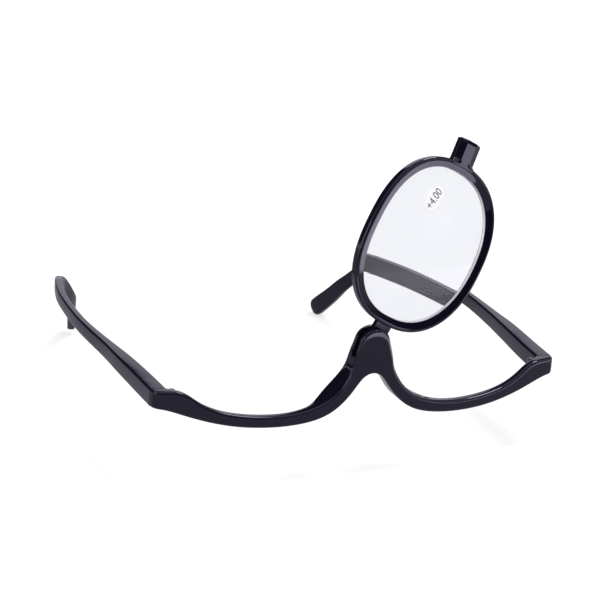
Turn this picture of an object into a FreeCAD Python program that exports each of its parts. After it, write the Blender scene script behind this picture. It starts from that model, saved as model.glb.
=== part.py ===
import FreeCAD, Part
import math
import os

V = FreeCAD.Vector
os.makedirs("parts", exist_ok=True)

# Magnifying makeup glasses: a half rim front, one lens that swings on a post from eye to eye,
# and two folding temples. Sizes are millimetres and angles are degrees.
# X runs from the wearer's right to the wearer's left, Y from the front back to the ears, Z up.
# The origin is the crown of the nose arch, level with the front face.

# Overall form of the front
half_width = 70.6
wrap_radius = 252.0
rim_height = 3.8
rim_depth = 2.9
bridge_depth = 5.7
pad_depth = 8.2
front_fillet = 0.9

# Post and fork that carry the lens
pivot_height = 9.9
post_round = 4.9
fork_front_wall = 1.7
fork_slot = 2.4
slot_floor_drop = 4.5

# Lens ring, an oval whose long axis points at the pivot; it starts clear of the post and
# ends short of the endpiece
ring_post_gap = 1.6
ring_end_margin = 8.4
ring_half_width = 21.8
ring_thickness = 3.25
ring_setback = 0.5
ring_face = 2.85
ring_front_round = 1.0
ring_back_round = 0.5
oval_power = 2.35
bezel_width = 0.93

# Swing of the lens: the open angle it is shown at, and the angle at which it nests in a scoop
open_angle = 61.2
nest_angle = 1.5
nest_gap_side = 0.5
nest_gap_below = 1.3

# Finger tab of the ring, with a ridge down its middle
tab_length = 6.0
tab_width = 6.4
tab_flank_drop = 0.9
tab_root_radius = 2.4
tab_edge_round = 0.4

# Stem of the ring and its eye, which turn in the fork
stem_width = 5.6
eye_radius = 4.0

# Lens, a meniscus of about four dioptres, with a tongue round its edge
lens_front_radius = 80.0
lens_back_radius = 235.0
lens_thickness = 3.6
lens_bulge = 1.75
lens_tongue_height = 0.8
lens_tongue_thickness = 0.7
lens_tongue_depth = 1.25
lens_tongue_root = 0.3

# Power label, an oval sticker on the front of the lens
label_half_length = 3.8
label_half_width = 2.3
label_thickness = 0.08
label_along = 13.65
label_across = 4.6
label_turn = 16.0

# Pivot hardware
screw_radius = 0.8
screw_head_radius = 1.7
screw_head_height = 0.5
screw_tip_cover = 0.6
bush_wall = 0.45
washer_radius = 3.4
washer_thickness = 0.2

# Fits
running_gap = 0.03
fit_gap = 0.02
seam_gap = 0.2

# Endpieces and hinges
corner_round = 2.8
seam_return = 0.25
endpiece_wall = 5.4
endpiece_top = -3.6
endpiece_height = 5.8
hinge_inset = 7.2
hinge_drop = 0.4
knuckle_radius = 1.25
knuckle_height = 0.9
barrel_room = 0.3
knuckle_count = 5
pin_radius = 0.6
pin_head_radius = 1.05
pin_head_height = 0.35
leaf_thickness = 1.1
front_leaf_length = 3.6
temple_leaf_length = 8.5
temple_leaf_inset = 1.2

# Temples
temple_length = 134.0
temple_drop = 25.6
temple_turn_in = 19.0
temple_wall = 5.5
temple_height = 5.8
temple_edge_round = 0.7
temple_tip_round = 0.9
temple_nose_radius = 2.6

# Overruns shared by all cuts
over = 1.0
far = 60.0

# Places worked out from the sizes above
corner_x = half_width - corner_round
corner_y = wrap_radius - math.sqrt((wrap_radius - corner_round) ** 2 - corner_x ** 2)
seam_depth = corner_y + seam_return
full_turn = 360.0
quarter = full_turn / 4
origin = V(0, 0, 0)
pivot = V(0, 0, pivot_height)
back = V(0, 1, 0)
up = V(0, 0, 1)
hinge_x = half_width - hinge_inset
hinge_y = seam_depth + seam_gap
endpiece_bottom = endpiece_top - endpiece_height
fork_slot_back = fork_front_wall + fork_slot
slot_floor = pivot_height - slot_floor_drop
stem_front = fork_front_wall + washer_thickness + running_gap
stem_back = fork_slot_back - washer_thickness - running_gap
ring_start = post_round + ring_post_gap
ring_end = half_width - ring_end_margin
ring_half_length = (ring_end - ring_start) / 2
ring_reach = (ring_end + ring_start) / 2
nest = math.radians(nest_angle)
nest_x = ring_reach * math.cos(nest)
nest_z = pivot_height + ring_reach * math.sin(nest)
scoop_half_length = ring_half_length + nest_gap_side
scoop_half_width = ring_half_width + nest_gap_below
scoop_floor = nest_z - scoop_half_width
rim_floor = scoop_floor - rim_height


def wrap_y(x):
    """Depth of the front face at x: the front is bent round a cylinder."""
    return wrap_radius - math.sqrt(wrap_radius ** 2 - x ** 2)


def spline(points):
    curve = Part.BSplineCurve()
    curve.interpolate([V(*point) for point in points])
    return curve.toShape()


def closed_spline(points):
    curve = Part.BSplineCurve()
    curve.interpolate(Points=points, PeriodicFlag=True)
    return curve.toShape()


def prism(edges, direction):
    return Part.Face(Part.Wire(edges)).extrude(direction)


def bar(radius, start, end):
    """A round bar from one point to another."""
    return Part.makeCylinder(radius, (end - start).Length, start, end - start)


def block(x_low, x_high, y_low, y_high, z_low, z_high):
    corner = V(x_low, y_low, z_low)
    return Part.makeBox(x_high - x_low, y_high - y_low, z_high - z_low, corner)


def mirrored(shape):
    return shape.mirror(origin, V(1, 0, 0))


def oval_point(half_length, half_width_, degrees):
    """A point of the lens oval, a superellipse with its long axis along X."""
    c = math.cos(math.radians(degrees))
    s = math.sin(math.radians(degrees))
    x = math.copysign(half_length * abs(c) ** (2 / oval_power), c)
    z = math.copysign(half_width_ * abs(s) ** (2 / oval_power), s)
    return x, z


# The front is two profiles that cross: its outline seen from the front, and its plan seen from above


def outline_top():
    """Upper edge, right half: round of the post, flank and scoop along the nested lens, endpiece."""
    points = []
    for degrees in (90, 65, 38, 3):
        angle = math.radians(degrees)
        points.append((post_round * math.cos(angle), pivot_height + post_round * math.sin(angle)))
    for degrees in (188, 199, 211, 225, 240, 255, 270, 284):
        x, z = oval_point(scoop_half_length, scoop_half_width, degrees)
        points.append((nest_x + x, nest_z + z))
    # Shares of the half width, and of the way from the endpiece's top down to the scoop's floor
    end_shares = ((0.715, 0.74), (0.795, 0.43), (0.850, 0.135), (0.885, 0.025), (0.942, 0.0),
                  (1.02, 0.0))
    for along_share, drop_share in end_shares:
        drop = endpiece_top - scoop_floor
        points.append((half_width * along_share, endpiece_top - drop * drop_share))
    return points


def outline_bottom():
    """Lower edge, right half: nose arch, rim and endpiece."""
    # Shares of the half width, and of the rim's lowest point below the arch
    arch_shares = ((0.0, 0.0), (0.031, 0.035), (0.062, 0.160), (0.090, 0.325), (0.122, 0.492),
                   (0.170, 0.675), (0.240, 0.838), (0.340, 0.956), (0.480, 1.0), (0.625, 0.963))
    points = []
    for along_share, drop_share in arch_shares:
        points.append((half_width * along_share, rim_floor * drop_share))
    # Shares of the half width, and of the way from the endpiece's bottom down to the rim's floor
    end_shares = ((0.752, 0.66), (0.870, 0.30), (0.945, 0.07), (1.02, -0.03))
    for along_share, drop_share in end_shares:
        drop = endpiece_bottom - rim_floor
        points.append((half_width * along_share, endpiece_bottom - drop * drop_share))
    return points


def both_halves(half, y):
    """The points of a right half and its mirror image, from left to right, at depth y."""
    left = [(-x, y, z) for x, z in reversed(half[1:])]
    return left + [(x, y, z) for x, z in half]


def front_outline():
    top = both_halves(outline_top(), -far)
    bottom = both_halves(outline_bottom(), -far)
    ends = [Part.makeLine(V(*top[side]), V(*bottom[side])) for side in (0, -1)]
    return prism([spline(top), ends[0], spline(bottom), ends[1]], V(0, far * 2, 0))


def front_plan():
    """Plan of the front: wrapped face, rounded corners, endpiece returns, pads and bridge."""
    touch = wrap_radius / (wrap_radius - corner_round)
    touch_x = corner_x * touch
    lean = math.atan2(corner_x, wrap_radius - corner_y)
    bend = (lean + math.radians(quarter)) / 2
    middle = (corner_x + corner_round * math.sin(bend), corner_y - corner_round * math.cos(bend))
    inner_x = half_width - endpiece_wall
    heel_x = inner_x - rim_depth / 2
    pad_share = pad_depth / bridge_depth
    # Shares of the half width, and the depth behind the front face at each
    back_points = ((0.0, bridge_depth), (0.070, bridge_depth * 1.02), (0.125, pad_depth * 0.93),
                   (0.165, pad_depth), (0.215, pad_depth * 0.84), (0.275, rim_depth * 1.38),
                   (0.350, rim_depth * 1.03), (0.470, rim_depth), (0.640, rim_depth),
                   (0.790, rim_depth), (0.865, rim_depth * 0.97))
    rear = [(half_width * share, wrap_y(half_width * share) + depth) for share, depth in back_points]
    rear.append((heel_x, wrap_y(heel_x) + rim_depth * 0.97))
    edges = [Part.Arc(V(-touch_x, wrap_y(touch_x), -far), V(0, 0, -far),
                      V(touch_x, wrap_y(touch_x), -far)).toShape()]
    left = [(-x, y, -far) for x, y in reversed(rear[1:])]
    edges.append(spline(left + [(x, y, -far) for x, y in rear]))
    for side in (1, -1):
        edges.append(Part.Arc(V(side * touch_x, wrap_y(touch_x), -far),
                              V(side * middle[0], middle[1], -far),
                              V(side * half_width, corner_y, -far)).toShape())
        edges.append(Part.makeLine(V(side * half_width, corner_y, -far),
                                   V(side * half_width, seam_depth, -far)))
        edges.append(Part.makeLine(V(side * half_width, seam_depth, -far),
                                   V(side * inner_x, seam_depth, -far)))
        edges.append(Part.makeLine(V(side * inner_x, seam_depth, -far),
                                   V(side * heel_x, rear[-1][1], -far)))
    return prism(Part.sortEdges(edges)[0], V(0, 0, far * 2))


def on_front(edge):
    """True for the edges that bound the face and its rounded corners, seen from the front."""
    middle = edge.valueAt((edge.FirstParameter + edge.LastParameter) / 2)
    upright = edge.BoundBox.ZLength > rim_height
    at_face = abs(middle.y - wrap_y(middle.x)) < fit_gap
    at_corner = abs(middle.x) > corner_x and middle.y < corner_y
    return (at_face and edge.Length > rim_height * 2) or (at_corner and not upright)


def fork_slot_cut():
    """The slot that the arm's stem swings in, open at the top and at both sides."""
    wide = post_round * 3
    return block(-wide, wide, fork_front_wall, fork_slot_back, slot_floor, pivot_height + wide)


def at_pivot(y):
    return V(0, y, pivot_height)


def front_frame():
    body = front_outline().common(front_plan())
    body = body.makeFillet(front_fillet, [edge for edge in body.Edges if on_front(edge)])
    body.fix(fit_gap, fit_gap, fit_gap)
    shank = bar(screw_radius + fit_gap, at_pivot(screw_tip_cover), at_pivot(bridge_depth + over))
    head = bar(screw_head_radius + fit_gap, at_pivot(bridge_depth - screw_head_height - fit_gap),
               at_pivot(bridge_depth + over))
    barrel = bar(knuckle_radius + barrel_room, hinge_point(0, -over * 2),
                 hinge_point(knuckle_count, over * 2))
    tang = front_tang(fit_gap)
    web = block(hinge_x, hinge_x + knuckle_radius + fit_gap, tang.BoundBox.YMin, hinge_y,
                tang.BoundBox.ZMin, tang.BoundBox.ZMax)
    cuts = [fork_slot_cut(), shank, head]
    for pocket in (tang, web, barrel):
        cuts += [pocket, mirrored(pocket)]
    for cut in cuts:
        body = body.cut(cut)
    return body


# Hinges: five knuckles on one pin, three on the front's half and two on the temple's.
# They are built on the side of positive X and mirrored for the other side.


def hinge_point(index, extra=0.0):
    """A point on the hinge axis, at the bottom of a knuckle; they sit just below mid height."""
    middle = endpiece_bottom + endpiece_height / 2 - hinge_drop
    return V(hinge_x, hinge_y, middle + (index - knuckle_count / 2) * knuckle_height + extra)


def with_knuckles(tang, first, web):
    """Adds every second knuckle to a tang, each with its web, and bores them for the pin."""
    gap = running_gap / 2
    solid = tang
    for index in range(first, knuckle_count, 2):
        low = hinge_point(index, gap)
        high = hinge_point(index + 1, -gap)
        x_low, x_high, y_low, y_high = web
        solid = solid.fuse(bar(knuckle_radius, low, high))
        solid = solid.fuse(block(x_low, x_high, y_low, y_high, low.z, high.z))
    bore = bar(pin_radius + running_gap, hinge_point(0, -over), hinge_point(knuckle_count, over))
    return solid.removeSplitter().cut(bore)


def front_tang(margin=0.0):
    """The part of the front hinge half that is moulded into the endpiece, or its pocket."""
    tang_back = wrap_y(hinge_x) + rim_depth + leaf_thickness * 0.2
    bottom = hinge_point(0, running_gap / 2)
    top = hinge_point(knuckle_count, -running_gap / 2)
    return block(hinge_x - margin, hinge_x + knuckle_radius + front_leaf_length + margin,
                 tang_back - leaf_thickness - margin, tang_back + margin,
                 bottom.z - margin, top.z + margin)


def front_hinge():
    tang = front_tang()
    web = (hinge_x, hinge_x + knuckle_radius, tang.BoundBox.YMin, hinge_y)
    return with_knuckles(tang, 0, web)


def temple_tang(margin=0.0):
    """The part of the temple's hinge half that is moulded into the temple, or its pocket."""
    x_low = half_width - temple_wall + temple_leaf_inset
    web_gap = running_gap / 2
    low = hinge_point(1, web_gap).z - margin
    high = hinge_point(knuckle_count - 1, -web_gap).z + margin
    tang = block(x_low - margin, x_low + leaf_thickness + margin, hinge_y + fit_gap,
                 hinge_y + temple_leaf_length + margin, low, high)
    neck = block(hinge_x, x_low + margin, hinge_y + fit_gap - margin,
                 hinge_y + knuckle_radius + margin, low, high)
    return tang.fuse(neck) if margin else tang


def temple_hinge():
    tang = temple_tang()
    web = (hinge_x, tang.BoundBox.XMax, hinge_y + fit_gap, hinge_y + knuckle_radius)
    return with_knuckles(tang, 1, web)


def hinge_screw():
    """The hinge pin: a screw from above, with a slotted cheese head."""
    bottom = hinge_point(0, fit_gap)
    shoulder = hinge_point(knuckle_count, fit_gap)
    crown = hinge_point(knuckle_count, fit_gap + pin_head_height)
    head = bar(pin_head_radius, shoulder, crown)
    slot = block(hinge_x - pin_head_radius - over, hinge_x + pin_head_radius + over,
                 hinge_y - pin_head_height / 3, hinge_y + pin_head_height / 3,
                 crown.z - pin_head_height / 2, crown.z + over)
    return bar(pin_radius, bottom, shoulder).fuse(head).removeSplitter().cut(slot)


# The arm with the lens, drawn with its long axis along X and its eye at the origin's height, then
# turned to the open angle and lifted to the pivot


def at_eye(y):
    return V(0, y, 0)


def opened(shape):
    shape.rotate(origin, back, -open_angle)
    shape.translate(pivot)
    return shape


def oval_prism(inset):
    """The lens oval as a long bar along Y, drawn in from the ring's outside by the inset."""
    count = 40
    points = []
    for step in range(count):
        degrees = full_turn * (step + 1 / 2) / count
        x, z = oval_point(ring_half_length - inset, ring_half_width - inset, degrees)
        points.append(V(ring_reach + x, -far, z))
    return prism([closed_spline(points)], V(0, far * 2, 0))


def wrapped_layer(front_depth, back_depth):
    """The space between two depths behind the ring's bent front surface."""
    foot = V(0, wrap_radius + ring_setback, -far)
    outer = Part.makeCylinder(wrap_radius - front_depth, far * 2, foot, up)
    inner = Part.makeCylinder(wrap_radius - back_depth, far * 2, foot, up)
    return outer.cut(inner)


def tab_plan():
    """The finger tab, with hollow curves at its root."""
    half = tab_width / 2
    tip = ring_end + tab_length
    root = ring_end - tab_root_radius / 2
    flare = tab_root_radius
    knee = math.sqrt(1 / 2)
    edges = []
    for side in (1, -1):
        edges.append(Part.Arc(
            V(root, -far, side * (half + flare)),
            V(root + flare * (1 - knee), -far, side * (half + flare * (1 - knee))),
            V(root + flare, -far, side * half)).toShape())
        edges.append(Part.makeLine(V(root + flare, -far, side * half),
                                   V(tip, -far, side * half)))
    start = ring_reach + ring_half_length / 2
    for side in (1, -1):
        edges.append(Part.makeLine(V(root, -far, side * (half + flare)),
                                   V(start, -far, side * (half + flare))))
    edges.append(Part.makeLine(V(tip, -far, half), V(tip, -far, -half)))
    edges.append(Part.makeLine(V(start, -far, half + flare),
                               V(start, -far, -half - flare)))
    return prism(Part.sortEdges(edges)[0], V(0, far * 2, 0))


def tab_flank(side):
    """The wedge cut from the front of the tab beside its ridge."""
    x_root = ring_end
    x_tip = ring_end + tab_length + over
    half = tab_width / 2 + over
    drop = tab_flank_drop * half / (tab_width / 2)
    ring_y = ring_setback
    sections = []
    for x in (x_root, x_tip):
        surface = wrap_y(x) + ring_y
        sections.append(Part.makePolygon([
            V(x, surface, 0),
            V(x, surface + drop, side * half),
            V(x, surface - over, side * half),
            V(x, surface - over, 0),
            V(x, surface, 0)]))
    return Part.makeLoft(sections, True, True)


def finger_tab():
    """The tab with its two flanks and softened sides and end."""
    body = tab_plan().common(wrapped_layer(0.0, ring_thickness)).cut(oval_prism(ring_face * 0.6))
    for side in (1, -1):
        body = body.cut(tab_flank(side))
    root = ring_end - tab_root_radius / 2
    edges = []
    for edge in body.Edges:
        middle = edge.valueAt((edge.FirstParameter + edge.LastParameter) / 2)
        at_side = abs(middle.z) > tab_width / 2 - fit_gap and middle.x > root + fit_gap
        at_tip = middle.x > ring_end + tab_length - fit_gap
        if at_side or at_tip:
            edges.append(edge)
    body = body.makeFillet(tab_edge_round, edges)
    body.fix(fit_gap, fit_gap, fit_gap)
    return body


def oval_edge(shape, depth_low, depth_high, inset):
    """The round edge of an oval at a depth and an inset."""
    found = []
    for edge in shape.Edges:
        reach = edge.BoundBox.XMax - ring_reach
        level = edge.valueAt((edge.FirstParameter * 3 + edge.LastParameter) / 4)
        depth = wrap_radius - math.hypot(level.x, wrap_radius + ring_setback - level.y)
        if abs(reach - ring_half_length + inset) < fit_gap and depth_low < depth < depth_high:
            if edge.Length > ring_half_length:
                found.append(edge)
    return found


def lens_ring():
    groove = oval_prism(ring_face - lens_tongue_height - fit_gap).common(
        wrapped_layer(lens_tongue_depth - fit_gap,
                      lens_tongue_depth + lens_tongue_thickness + fit_gap))
    body = oval_prism(0.0).common(wrapped_layer(0.0, ring_thickness)).cut(groove)
    body = body.cut(oval_prism(ring_face))
    middle = ring_thickness / 2
    body = body.makeChamfer(bezel_width, oval_edge(body, -fit_gap, fit_gap, ring_face))
    body = body.makeFillet(ring_front_round, oval_edge(body, -fit_gap, middle, 0.0))
    body = body.makeFillet(ring_back_round, oval_edge(body, middle, ring_thickness + fit_gap, 0.0))
    body = body.fuse(finger_tab())
    half = stem_width / 2
    stem = block(0, ring_start + ring_face * 0.6, stem_front, stem_back,
                 -half, half)
    body = body.fuse(stem).fuse(bar(eye_radius, at_eye(stem_front), at_eye(stem_back)))
    bore_radius = screw_radius + running_gap + bush_wall + fit_gap
    return body.cut(bar(bore_radius, at_eye(-over), at_eye(bridge_depth)))


def lens_centre():
    """Where the lens's front would touch the ring's front surface, and the way it faces back."""
    lean = math.asin(ring_reach / wrap_radius)
    facing = V(-math.sin(lean), math.cos(lean), 0)
    return V(ring_reach, wrap_y(ring_reach) + ring_setback, 0), facing


def lens_ball(radius, depth):
    """A sphere whose front pole lies at a depth behind the ring's front surface."""
    centre, facing = lens_centre()
    return Part.makeSphere(radius, centre + facing * (depth + radius))


def lens():
    core = oval_prism(ring_face + fit_gap).common(lens_ball(lens_front_radius, -lens_bulge))
    core = core.cut(lens_ball(lens_back_radius, lens_thickness - lens_bulge))
    band = oval_prism(ring_face - lens_tongue_height).cut(oval_prism(ring_face + lens_tongue_root))
    layer = wrapped_layer(lens_tongue_depth, lens_tongue_depth + lens_tongue_thickness)
    return core.fuse(band.common(layer))


def lens_label():
    """The power sticker, an oval that follows the front of the lens."""
    centre, facing = lens_centre()
    middle = V(centre.x + label_along, 0, centre.z + label_across)
    oval = Part.Ellipse(V(middle.x, -far, middle.z), label_half_length, label_half_width)
    edge = oval.toShape()
    edge.rotate(V(middle.x, -far, middle.z), V(1, 0, 0), quarter)
    edge.rotate(V(middle.x, -far, middle.z), back, label_turn)
    bar_through = prism([edge], V(0, far + lens_thickness * 2, 0))
    outer = lens_ball(lens_front_radius + label_thickness, -lens_bulge - label_thickness - fit_gap)
    return bar_through.common(outer).cut(lens_ball(lens_front_radius, -lens_bulge - fit_gap))


def pivot_bush():
    outer = screw_radius + running_gap + bush_wall
    tube = bar(outer, at_eye(stem_front), at_eye(stem_back))
    return tube.cut(bar(screw_radius + running_gap, at_eye(0), at_eye(bridge_depth)))


def pivot_washer(y_low):
    disc = bar(washer_radius, at_pivot(y_low), at_pivot(y_low + washer_thickness))
    return disc.cut(bar(screw_radius + running_gap, at_pivot(0), at_pivot(bridge_depth)))


def pivot_screw():
    """The pivot screw, put in from behind; its cross slots are cut in the head."""
    shoulder = bridge_depth - screw_head_height
    solid = bar(screw_radius, at_pivot(screw_tip_cover + fit_gap), at_pivot(shoulder))
    solid = solid.fuse(bar(screw_head_radius, at_pivot(shoulder), at_pivot(bridge_depth)))
    solid = solid.removeSplitter()
    reach = screw_head_radius * 0.72
    half = screw_head_height / 3
    depth = bridge_depth - screw_head_height * 0.6
    solid = solid.cut(block(-reach, reach, depth, bridge_depth + over,
                            pivot_height - half, pivot_height + half))
    return solid.cut(block(-half, half, depth, bridge_depth + over,
                           pivot_height - reach, pivot_height + reach))


# Temples


def temple_stations():
    """Centre, width and height of the temple at places along it, from the hinge to the tip."""
    start_x = half_width - temple_wall / 2
    start_z = endpiece_bottom + endpiece_height / 2
    # Shares of the length, of the turn in, of the drop, of the wall and of the height
    shares = ((0.0, 0.0, 0.0, 1.0, 1.0), (0.090, -0.018, -0.024, 0.965, 0.985),
              (0.194, -0.055, -0.058, 0.84, 0.93), (0.313, -0.092, -0.078, 0.66, 0.86),
              (0.448, -0.119, -0.090, 0.545, 0.80), (0.582, -0.050, -0.093, 0.51, 0.77),
              (0.697, 0.066, -0.107, 0.50, 0.76), (0.753, 0.154, -0.114, 0.50, 0.75),
              (0.794, 0.250, -0.105, 0.50, 0.74), (0.824, 0.363, -0.045, 0.50, 0.74),
              (0.848, 0.500, 0.085, 0.50, 0.75), (0.872, 0.660, 0.280, 0.50, 0.78),
              (0.899, 0.795, 0.465, 0.50, 0.85), (0.929, 0.900, 0.645, 0.50, 0.94),
              (0.958, 0.980, 0.800, 0.50, 1.02), (0.975, 1.025, 0.890, 0.50, 1.04))
    stations = []
    for along, turn, drop, wall, height in shares:
        centre = V(start_x - temple_turn_in * turn, hinge_y + temple_length * along,
                   start_z - temple_drop * drop)
        stations.append((centre, temple_wall * wall, temple_height * height))
    # The tip ends in a round nose, in six steps of a quarter circle; more comes off its top
    onward = (stations[-1][0] - stations[-2][0]).normalize()
    end, wall, height = stations[-1]
    steps = 6
    for step in range(1, steps + 1):
        angle = math.radians(quarter * step / steps)
        trim = 2 * (1 - math.cos(angle))
        centre = end + onward * temple_nose_radius * math.sin(angle)
        centre.z -= temple_nose_radius * trim * 0.12
        stations.append((centre, wall - temple_tip_round * trim, height - temple_nose_radius * trim))
    return stations


def rounded_section(centre, across, upright, width, height):
    """A closed rectangle with rounded corners, in the plane of two directions."""
    radius = min(temple_edge_round, width * 0.4, height * 0.4)
    knee = radius * (1 - math.sqrt(1 / 2))

    def at(a, b):
        return centre + across * a + upright * b

    w, h = width / 2, height / 2
    edges = []
    for a, b in ((1, 1), (-1, 1), (-1, -1), (1, -1)):
        side, level = at(a * w, b * (h - radius)), at(a * (w - radius), b * h)
        middle = at(a * (w - knee), b * (h - knee))
        if a == b:
            edges.append(Part.Arc(side, middle, level).toShape())
            edges.append(Part.makeLine(level, at(-a * (w - radius), b * h)))
        else:
            edges.append(Part.Arc(level, middle, side).toShape())
            edges.append(Part.makeLine(side, at(a * w, -b * (h - radius))))
    return Part.Wire(edges)


def temple():
    stations = temple_stations()
    path = Part.BSplineCurve()
    path.interpolate([centre for centre, width, height in stations])
    sections = []
    for index, (centre, width, height) in enumerate(stations):
        along = path.tangent(path.parameter(centre))[0]
        if index == 0:
            along = back
        across = along.cross(up).normalize()
        sections.append(rounded_section(centre, across, across.cross(along), width, height))
    body = Part.makeLoft(sections, True, False)
    return body.cut(temple_tang(fit_gap))


def export(name, shape):
    """Writes one node, and says what it holds."""
    shape.exportStep("parts/" + name + ".step")
    print(name, "solids", len(shape.Solids), "valid", shape.isValid(), "volume", round(shape.Volume, 2))


export("front_frame", front_frame())
export("pivot_screw", pivot_screw())
seat = running_gap / 3
export("pivot_washer_front", pivot_washer(fork_front_wall + seat))
export("pivot_washer_rear", pivot_washer(fork_slot_back - washer_thickness - seat))
for name, maker in (("lens_ring", lens_ring), ("lens", lens), ("lens_label", lens_label),
                    ("pivot_bush", pivot_bush)):
    export(name, opened(maker()))
for name, maker in (("front_hinge", front_hinge), ("hinge_screw", hinge_screw),
                    ("temple_hinge", temple_hinge), ("temple", temple)):
    shape = maker()
    export(name + "_left", shape)
    export(name + "_right", mirrored(shape))
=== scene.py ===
# %% [markdown]
# # Magnifying makeup glasses
# This lesson dresses a pair of makeup glasses: a glossy black half rim front, two folding temples,
# and one magnifying lens in an oval ring that swings on a post from eye to eye.
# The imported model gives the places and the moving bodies. Polished black shows every flat facet
# in its reflections, so the big moulded pieces are drawn again here as smooth dense grids that
# follow the same sizes, and they stand for the plain solids.

# %% Load the moving frame
import bmesh
import bpy
import math
import numpy as np
from mathutils import Matrix, Vector


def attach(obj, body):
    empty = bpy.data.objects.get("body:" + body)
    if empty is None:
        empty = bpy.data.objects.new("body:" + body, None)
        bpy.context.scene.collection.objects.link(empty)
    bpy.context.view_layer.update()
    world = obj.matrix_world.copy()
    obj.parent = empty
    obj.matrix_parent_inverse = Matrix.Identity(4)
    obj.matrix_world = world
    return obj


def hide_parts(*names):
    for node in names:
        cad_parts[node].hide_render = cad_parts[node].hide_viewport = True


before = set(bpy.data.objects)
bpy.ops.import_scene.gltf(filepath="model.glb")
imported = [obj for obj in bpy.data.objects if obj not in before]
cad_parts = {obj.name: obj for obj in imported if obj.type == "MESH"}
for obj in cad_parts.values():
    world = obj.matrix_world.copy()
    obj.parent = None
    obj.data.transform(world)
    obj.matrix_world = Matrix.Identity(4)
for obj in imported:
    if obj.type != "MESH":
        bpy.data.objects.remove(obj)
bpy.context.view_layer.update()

# %% [markdown]
# ## Units and small helpers
# Eyewear is drawn in millimetres, and the scene is in metres. Every shape below is worked out in
# millimetres and turned to metres only when its mesh is made. A grid of points becomes quads,
# which take highlights better than loose triangles.

# %% Mesh helpers
MM = 0.001
quarter_turn = math.pi / 2


def add_object(name, data):
    item = bpy.data.objects.new(name, data)
    bpy.context.scene.collection.objects.link(item)
    return item


def run_along(points):
    """The distance from the first point to each point, along the line that joins them."""
    steps = np.linalg.norm(np.diff(np.array(points), axis=0), axis=1)
    return np.concatenate([[0], np.cumsum(steps)])


def curve_at(run, runs, points):
    """The point of a curve at a distance along it."""
    return [float(np.interp(run, runs, points[:, k])) for k in (0, 1)]


def shade_smooth(mesh, sharp_angle=35.0):
    mesh.polygons.foreach_set("use_smooth", [True] * len(mesh.polygons))
    mesh.set_sharp_from_angle(angle=math.radians(sharp_angle))


def make_mesh(name, points, faces, sharp_angle=35.0):
    """A smooth object from points in millimetres; edges sharper than the angle stay crisp."""
    mesh = bpy.data.meshes.new(name)
    mesh.from_pydata([tuple(float(c) * MM for c in p) for p in points], [], faces)
    mesh.validate()
    shade_smooth(mesh, sharp_angle)
    mesh.update()
    return add_object(name, mesh)


def tube_faces(rings, around, start=0):
    """Quads between rings of points that each close on themselves."""
    faces = []
    for r in range(rings - 1):
        for k in range(around):
            a, b = start + r * around + k, start + r * around + (k + 1) % around
            faces.append((a, b, b + around, a + around))
    return faces


def capped_tube(rings, around):
    """Those quads, with a flat face over each end."""
    last = (rings - 1) * around
    caps = [tuple(range(around)), tuple(range(last, last + around))[::-1]]
    return tube_faces(rings, around) + caps


def dome_faces(rings, around):
    """Triangles from the first point to a ring, then quads between the rings after it."""
    fan = [(0, 1 + k, 1 + (k + 1) % around) for k in range(around)]
    return fan + tube_faces(rings, around, 1)


def natural_spline(points, count):
    """A smooth curve through points, as evenly spaced samples: a cubic spline on chord length."""
    pts = np.array(points, float)
    knots = run_along(pts)
    n, h = len(pts), np.diff(knots)
    matrix, right = np.eye(n), np.zeros_like(pts)
    for i in range(1, n - 1):
        matrix[i, i - 1:i + 2] = h[i - 1], 2 * (h[i - 1] + h[i]), h[i]
        right[i] = 6 * ((pts[i + 1] - pts[i]) / h[i] - (pts[i] - pts[i - 1]) / h[i - 1])
    bend = np.linalg.solve(matrix, right)
    t = np.linspace(0, knots[-1], count * 4)
    i = np.clip(np.searchsorted(knots, t, side="right") - 1, 0, n - 2)
    a, b, w = (knots[i + 1] - t)[:, None], (t - knots[i])[:, None], h[i][:, None]
    curve = (bend[i] * a ** 3 + bend[i + 1] * b ** 3) / (6 * w)
    curve += (pts[i] / w - bend[i] * w / 6) * a + (pts[i + 1] / w - bend[i + 1] * w / 6) * b
    run = run_along(curve)
    even = np.linspace(0, run[-1], count)
    return np.stack([np.interp(even, run, curve[:, k]) for k in range(pts.shape[1])], -1)


print("helpers ready")

# %% [markdown]
# ## The camera
# The photograph was taken a little from the wearer's right and from above, with a long lens,
# so the front shows hardly any perspective. The camera is set from its azimuth, elevation and roll,
# its distance, and the point it looks at.

# %% Camera
azimuth, elevation, roll = (math.radians(a) for a in (-25.45, 18.61, 4.29))
aim = Vector((-27.69, 0.0, 26.75)) * MM
distance = 951.4 * MM
focal_pixels, picture_pixels, sensor = 3087.2, 600, 36.0

toward = Vector((math.sin(azimuth) * math.cos(elevation),
                 -math.cos(azimuth) * math.cos(elevation), math.sin(elevation)))
level = Vector((0, 0, 1)).cross(toward).normalized()
above = toward.cross(level)
side_axis = level * math.cos(roll) + above * math.sin(roll)
up_axis = above * math.cos(roll) - level * math.sin(roll)
camera_data = bpy.data.cameras.new("photo_camera")
camera_data.sensor_width = sensor
camera_data.lens = focal_pixels / picture_pixels * sensor
camera_data.clip_start, camera_data.clip_end = 0.05, 20
camera = add_object("photo_camera", camera_data)
turn = Matrix((side_axis, up_axis, toward)).transposed().to_4x4()
camera.matrix_world = Matrix.Translation(aim + toward * distance) @ turn
bpy.context.scene.camera = camera
print("camera at", [round(c, 4) for c in camera.location], "lens", round(camera_data.lens, 1))

# %% [markdown]
# ## Table and light
# The table lies level under the lowest point of the solids, the tips of the temples. A folded
# temple sweeps its tip forward at that same height, so the table clears it at every pose, and the
# front hangs a little above the paper. The light is a plain white tent, brighter
# overhead, with the room a little darker beside the camera, as such product pictures have.

# %% Table under the temple tips
lowest = min(v.co.z for name in ("front_frame", "temple_left", "temple_right")
             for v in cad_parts[name].data.vertices)

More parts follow.
